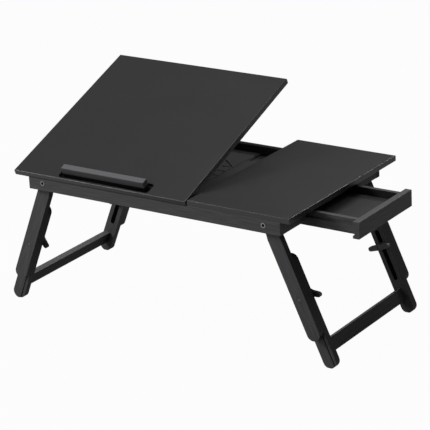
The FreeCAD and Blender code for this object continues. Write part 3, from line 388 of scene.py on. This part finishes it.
def steel(name, dark, light, rough, stretch=1, metallic=1.0, shade_rings=()):
    """Scuffed steel; a shade ring is (axis point, inner mm, outer mm), painted shade in black
    about the Y axis.
    """
    material = new_material(name)
    where = add_node(material, "ShaderNodeTexCoord")
    drawn = add_node(material, "ShaderNodeMapping", {"vector_type": "TEXTURE"},
                     {"Vector": (where, "Object"), "Scale": (stretch, 1, 1)})
    scuff = add_node(material, "ShaderNodeTexNoise", inputs={
        "Vector": (drawn, "Vector"), "Scale": per_mm(SCUFF_MM), "Detail": 3.0})
    tone = add_node(material, "ShaderNodeMix", COLOUR_MIX, {
        FIRST: linear(dark), SECOND: linear(light), SHARE: (scuff, "Fac")})
    flat = add_node(material, "ShaderNodeVectorMath", {"operation": "MULTIPLY"},
                    {0: (where, "Object"), 1: (1, 0, 1)})
    for axis, inner, outer in shade_rings:
        away = add_node(material, "ShaderNodeVectorMath", {"operation": "DISTANCE"},
                        {0: (flat, "Vector"), 1: (axis[0], 0, axis[2])})
        inside = add_node(material, "ShaderNodeMath", {"operation": "COMPARE"}, {
            0: (away, "Value"), 1: (inner + outer) / 2 * MM, 2: (outer - inner) / 2 * MM})
        tone = add_node(material, "ShaderNodeMix", COLOUR_MIX, {
            FIRST: (tone, MIXED), SECOND: linear(RING_SHADE_BLACK), SHARE: (inside, "Value")})
    return finish_material(material, add_node(material, "ShaderNodeBsdfPrincipled", inputs={
        "Base Color": (tone, MIXED), "Metallic": metallic, "Roughness": rough}))


pivots = [joint["pos_m"] for joint in frame["joints"] if joint["name"].endswith("_leg_fold")]
clamps = [joint["pos_m"] for joint in frame["joints"] if "_knob_turn_" in joint["name"]]
black_steel = steel("blackened_steel", "2C2C2E", "4A4A4C", 0.34)
bright_steel = steel("bright_drawn_steel", "A2A2A4", "BFBFC0", 0.3, stretch=12)
head_steel = steel("turned_steel_heads", "6E6E70", "8A8A8C", 0.3,
                   shade_rings=[(axis, 0, SOCKET_MM) for axis in pivots])
lacquered_head = steel("lacquered_steel_heads", "444445", "505052", 0.45, metallic=0.0,
                       shade_rings=[(axis, RIM_MM, RIM_MM + RIM_WIDE_MM) for axis in clamps])

# %% [markdown]
# The wing knobs are moulded black nylon, with an index of refraction of 1.53. The mould was
# spark-eroded, which leaves a fine even texture: the eye sees a soft, slightly greasy sheen and
# no gloss. Roughness alone could give the sheen; the bump breaks it up. Real pits are about
# 0.05 mm across, and are drawn coarser, to show.

# %% Moulded nylon
NYLON_BLACK = "3A3A3B"
NYLON_IOR = 1.53
PIT_MM = 0.4
PIT_DEEP_MM = 0.04
nylon = new_material("moulded_black_nylon")
where = add_node(nylon, "ShaderNodeTexCoord")
pits = add_node(nylon, "ShaderNodeTexNoise", inputs={
    "Vector": (where, "Object"), "Scale": per_mm(PIT_MM), "Detail": 2.0})
eroded = add_node(nylon, "ShaderNodeBump", inputs={
    "Height": (pits, "Fac"), "Strength": 0.25, "Distance": PIT_DEEP_MM * MM})
finish_material(nylon, add_node(nylon, "ShaderNodeBsdfPrincipled", inputs={
    "Base Color": linear(NYLON_BLACK), "Roughness": 0.46, "IOR": NYLON_IOR,
    "Normal": (eroded, "Normal")}))

# %% [markdown]
# Every solid now gets its finish. Grain runs along a piece's longer side: from front to back
# in the end rails, the drawer's front and back, the stretchers, the racks and the prop's arms,
# and from left to right in the rest. Each solid has a plain name, so a table of names picks the
# finish, and the families, such as the legs, are known by a part of the name.

# %% Choose each solid's finish
FRONT_TO_BACK = ("left_end_rail", "middle_rail", "right_rail_front", "right_rail_rear",
                 "drawer_back", "drawer_front", "rack_left", "rack_right", "prop_arm_left",
                 "prop_arm_right")
FINISHES = {"vent_board": vent_board, "drawer_floor": drawer_board, "tilt_top": panel_black,
            "fixed_top": panel_black, "stop_bar": stop_black, "drawer_side_rear": shaded_x,
            "back_rail": back_rail_shaded_top, "pivot_bolts": head_steel, "pivot_nuts": black_steel,
            "stop_pins": black_steel, "hinge_lugs": bright_steel, "hinge_pins": bright_steel,
            "prop_rod": bright_steel, "guide_screws": bright_steel}


def finish_for(name):
    """The finish of one solid, from its own name or from its family's."""
    if name in FINISHES:
        return FINISHES[name]
    if name.endswith("_leg_bolts"):
        return lacquered_head
    if "wing_knob" in name:
        return nylon
    if name.endswith("_stretcher"):
        return shaded_y
    if "_leg_" in name:
        return leg_wood[name.split("_")[0]]
    return wood_y if name in FRONT_TO_BACK else wood_x


print(len(FINISHES), "solids have a finish of their own")

# %% [markdown]
# A solid may arrive with a material slot or with none. Filling the slots that are there, and
# adding one only where there is none, leaves no spare slot behind.

# %% Dress every solid
for name, piece in frame["nodes"].items():
    chosen = finish_for(name)
    if not piece.material_slots:
        piece.data.materials.append(chosen)
    for holder in piece.material_slots:
        holder.material = chosen
print("dressed", len(frame["nodes"]), "solids")

# %% [markdown]
# The leg bolts were lacquered with the stand, so lacquer fills the hexagon sockets in their
# heads almost to the brim. Paint on the socket's walls would still leave a hole, so each
# filling is a small hexagonal plug just under the head's face, turned to the leg.

# %% Lacquer in the leg bolts' sockets
FILL_MM = 2.2
FILL_UNDER_MM = 0.15
FILL_DEEP_MM = 0.8
CORNERS = 6
CORNER_TURN = 60


def socket_plug(name, axis, slide, face, inward, body):
    """Six-sided plug about the Y axis through axis, turned to the leg's slide direction."""
    corners = []
    for depth in (FILL_UNDER_MM, FILL_UNDER_MM + FILL_DEEP_MM):
        for corner in range(CORNERS):
            along = FILL_MM * MM * math.sin(math.radians(CORNER_TURN * corner))
            across = FILL_MM * MM * math.cos(math.radians(CORNER_TURN * corner))
            corners.append((axis[0] + along * slide[0] - across * slide[2],
                            face + inward * depth * MM,
                            axis[2] + along * slide[2] + across * slide[0]))
    top = tuple(range(CORNERS))
    bottom = tuple(range(2 * CORNERS - 1, CORNERS - 1, -1))
    sides = [(corner, (corner + 1) % CORNERS, (corner + 1) % CORNERS + CORNERS,
              corner + CORNERS) for corner in range(CORNERS)]
    mesh = bpy.data.meshes.new(name)
    mesh.from_pydata(corners, [], [top, bottom] + sides)
    mesh.materials.append(lacquered_head)
    plug = bpy.data.objects.new(name, mesh)
    bpy.context.scene.collection.objects.link(plug)
    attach(plug, body)
    print(name, "rides on", body)


# %% [markdown]
# There is a leg bolt where each wing knob turns, so the knobs' joints say where the plugs go.
# A plug rides on the body that carries the bolt, and moves with the leg.

# %% One plug in each head
for joint in frame["joints"]:
    if "_knob_turn_" in joint["name"]:
        side, row = joint["name"].split("_")[0], joint["name"].split("_")[3]
        low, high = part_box(f"{side}_leg_bolts")
        face, inward = (low[1], 1) if row == "front" else (high[1], -1)
        body = body_of(frame["nodes"][f"{side}_leg_bolts"])[0]
        socket_plug(f"{side}_socket_fill_{row}", joint["pos_m"], slides[side], face, inward, body)

# %% [markdown]
# The studio is a paper sweep. A real one curves up behind the object. Here the floor is one
# large flat sheet under a white room, which looks the same and can be seen from all sides. It
# carries the soft shadow under the stand.

# %% The floor sheet
FLOOR_HALF = 4.0
floor_mesh = bpy.data.meshes.new("floor")
floor_mesh.from_pydata([(-FLOOR_HALF, -FLOOR_HALF, 0), (FLOOR_HALF, -FLOOR_HALF, 0),
                        (FLOOR_HALF, FLOOR_HALF, 0), (-FLOOR_HALF, FLOOR_HALF, 0)], [],
                       [(0, 1, 2, 3)])
floor = bpy.data.objects.new("floor", floor_mesh)
bpy.context.scene.collection.objects.link(floor)
print("floor is", 2 * FLOOR_HALF, "m square")

# %% [markdown]
# The paper is pale matt grey, so that it throws little light back up. Three kinds of ray see it
# differently. To the camera it is lifted almost to white, as a lit sweep is. To gloss it is
# white too, but falls off towards the back and is nearly black under the table, which shades
# it: without that, the lacquer would mirror a floor brighter than a real one. All other light
# meets the grey.

# %% White paper
LIFT = 0.97
NEAR_Y, MIRRORED_NEAR = -0.7, 0.8
FAR_Y, MIRRORED_FAR = 0.5, 0.3
SHADED_WITHIN, OPEN_BEYOND = 0.2, 0.5
SHADED_SHARE = 0.08
paper = new_material("white_paper_sweep")
ray = add_node(paper, "ShaderNodeLightPath")
matt = add_node(paper, "ShaderNodeBsdfDiffuse", inputs={"Color": linear(SWEEP_GREY)})
glow = add_node(paper, "ShaderNodeEmission", inputs={
    "Color": linear(PAPER_WHITE), "Strength": 1.0})
spot = add_node(paper, "ShaderNodeTexCoord")
across = add_node(paper, "ShaderNodeSeparateXYZ", inputs={"Vector": (spot, "Object")})
falling = add_node(paper, "ShaderNodeMapRange", inputs={
    "Value": (across, "Y"), "From Min": NEAR_Y, "From Max": FAR_Y, "To Min": MIRRORED_NEAR,
    "To Max": MIRRORED_FAR})
reach = add_node(paper, "ShaderNodeVectorMath", {"operation": "LENGTH"}, {0: (spot, "Object")})
shaded = add_node(paper, "ShaderNodeMapRange", inputs={
    "Value": (reach, "Value"), "From Min": SHADED_WITHIN, "From Max": OPEN_BEYOND,
    "To Min": SHADED_SHARE, "To Max": 1.0})
open_floor = add_node(paper, "ShaderNodeMath", {"operation": "MULTIPLY"},
                      {0: (falling, "Result"), 1: (shaded, "Result")})
mirrored = add_node(paper, "ShaderNodeMath", {"operation": "MULTIPLY"},
                    {0: (ray, "Is Glossy Ray"), 1: (open_floor, "Value")})
lift = add_node(paper, "ShaderNodeMath", {"operation": "MULTIPLY_ADD"},
                {0: (ray, "Is Camera Ray"), 1: LIFT, 2: (mirrored, "Value")})
blend = add_node(paper, "ShaderNodeMixShader", inputs={
    0: (lift, "Value"), 1: (matt, "BSDF"), 2: (glow, "Emission")})
add_node(paper, "ShaderNodeOutputMaterial", inputs={"Surface": (blend, "Shader")})
floor_mesh.materials.append(paper)
print("paper:", len(paper.node_tree.nodes), "nodes")

# %% [markdown]
# The room is white to the eye. What the lacquer mirrors is the room as a lamp sees it: dim
# along the horizon, lighter overhead, so the tops stay dark and the edges can shine. A picture
# of a studio all round could do this too, but on lacquer this dull a plain slope of light is
# enough.

# %% The room
ROOM_LOW = 0.048
ROOM_HIGH = 0.28
NUMBER_MIX = {"data_type": "FLOAT", "clamp_factor": True}
world = bpy.data.worlds.new("studio")
world.use_nodes = True
world.node_tree.nodes.clear()
bpy.context.scene.world = world
toward = add_node(world, "ShaderNodeTexCoord")
split = add_node(world, "ShaderNodeSeparateXYZ", inputs={"Vector": (toward, "Generated")})
height = add_node(world, "ShaderNodeMapRange", inputs={
    "Value": (split, "Z"), "From Min": 0.0, "From Max": 1.0, "To Min": ROOM_LOW,
    "To Max": ROOM_HIGH})
seen = add_node(world, "ShaderNodeLightPath")
direct = add_node(world, "ShaderNodeMath", {"operation": "ADD"},
                  {0: (seen, "Is Camera Ray"), 1: (seen, "Is Transmission Ray")})
# A Mix node's number sockets are 0 for the share, 2 and 3 for the two numbers, and 0 out.
amount = add_node(world, "ShaderNodeMix", NUMBER_MIX, {
    0: (direct, "Value"), 2: (height, "Result"), 3: 1.0})
sky = add_node(world, "ShaderNodeBackground", inputs={
    "Color": linear(PAPER_WHITE), "Strength": (amount, 0)})
add_node(world, "ShaderNodeOutputWorld", inputs={"Surface": (sky, "Background")})
print("room", ROOM_LOW, "to", ROOM_HIGH)

# %% [markdown]
# Five soft boxes light the stand. The strongest, high at the front left, models the front
# faces and the tops. A weak one low in front lifts the front of rails and legs, and a wide one
# overhead evens the tops. Two small ones behind draw light lines along the far edges. None
# stands in front on the right, so the faces that look right stay dark and show how thick the
# wood is. They are area lamps, because a lamp's width sets how soft its shadow and sheen are.


# %% Soft boxes
def soft_box(name, place, aim, wide, power):
    """A square lamp of wide metres and power watts, turned towards aim."""
    lamp = bpy.data.lights.new(name, "AREA")
    lamp.shape = "SQUARE"
    lamp.size = wide
    lamp.energy = power
    item = bpy.data.objects.new(name, lamp)
    item.location = place
    item.rotation_euler = (Vector(aim) - Vector(place)).to_track_quat("-Z", "Y").to_euler()
    bpy.context.scene.collection.objects.link(item)
    print(name, power, "W")


MIDDLE = (0, 0, 0.2)
soft_box("front_box", (-1.86, -1.74, 1.79), MIDDLE, 0.8, 50)
soft_box("low_box", (-0.5, -2.95, 0.75), MIDDLE, 0.8, 14)
soft_box("overhead_box", (-0.2, 0.2, 2.6), MIDDLE, 1.2, 25)
soft_box("rim_box", (0.98, 2.15, 1.7), MIDDLE, 0.6, 16)
soft_box("back_box", (-0.6, 2.0, 2.1), MIDDLE, 0.6, 4.5)

# %% [markdown]
# The camera stands to the right of the front, a little above the table, with a long lens, so
# the table's edges stay nearly parallel. The solids are centred on the whole desk, so a longer
# drawer would shift them all. Its place is therefore measured from the left end of the tilting
# panel and the front edge of the fixed one, and it keeps its view of the table.

# %% Where the camera stands
AZIMUTH = 34.898
ELEVATION = 20.433
LEAN = -2.929
EYE_FROM_LEFT_MM = 2210.485
EYE_FROM_FRONT_MM = -2581.281
EYE_HIGH_MM = 1410.069
left_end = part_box("tilt_top")[0][0]
front_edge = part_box("fixed_top")[0][1]
STAND_POINT = Vector((left_end + EYE_FROM_LEFT_MM * MM, front_edge + EYE_FROM_FRONT_MM * MM,
                      EYE_HIGH_MM * MM))
print("camera stands at", [round(part, 3) for part in STAND_POINT])

# %% [markdown]
# A constraint could aim the camera, but it leans three degrees, and an aimed camera stays
# upright. Three directions give both: back from the object, right and up.

# %% Which way it looks
azimuth, elevation, lean = (math.radians(angle) for angle in (AZIMUTH, ELEVATION, LEAN))
back = Vector((math.sin(azimuth) * math.cos(elevation), -math.cos(azimuth) * math.cos(elevation),
               math.sin(elevation)))
side = (-back).cross(Vector((0, 0, 1))).normalized()
upward = side.cross(-back)
right = side * math.cos(lean) + upward * math.sin(lean)
up = upward * math.cos(lean) - side * math.sin(lean)
print("looks down", ELEVATION, "degrees")

# %% [markdown]
# The focal length is known in pixels of a square frame, 430 on a side. The ratio of the two,
# times the sensor's width, is the lens in millimetres.

# %% Camera
FOCAL_PIXELS = 2100
PICTURE_PIXELS = 430
SENSOR_MM = 36.0
FARTHEST_M = 50
eye = bpy.data.cameras.new("eye")
eye.sensor_width = SENSOR_MM
eye.lens = FOCAL_PIXELS * SENSOR_MM / PICTURE_PIXELS
eye.clip_end = FARTHEST_M
camera = bpy.data.objects.new("eye", eye)
turn = Matrix((right, up, back)).transposed().to_4x4()
camera.matrix_world = Matrix.Translation(STAND_POINT) @ turn
bpy.context.scene.collection.objects.link(camera)
bpy.context.scene.camera = camera
bpy.context.scene.view_settings.view_transform = "Standard"
print("lens", round(eye.lens, 1), "mm")
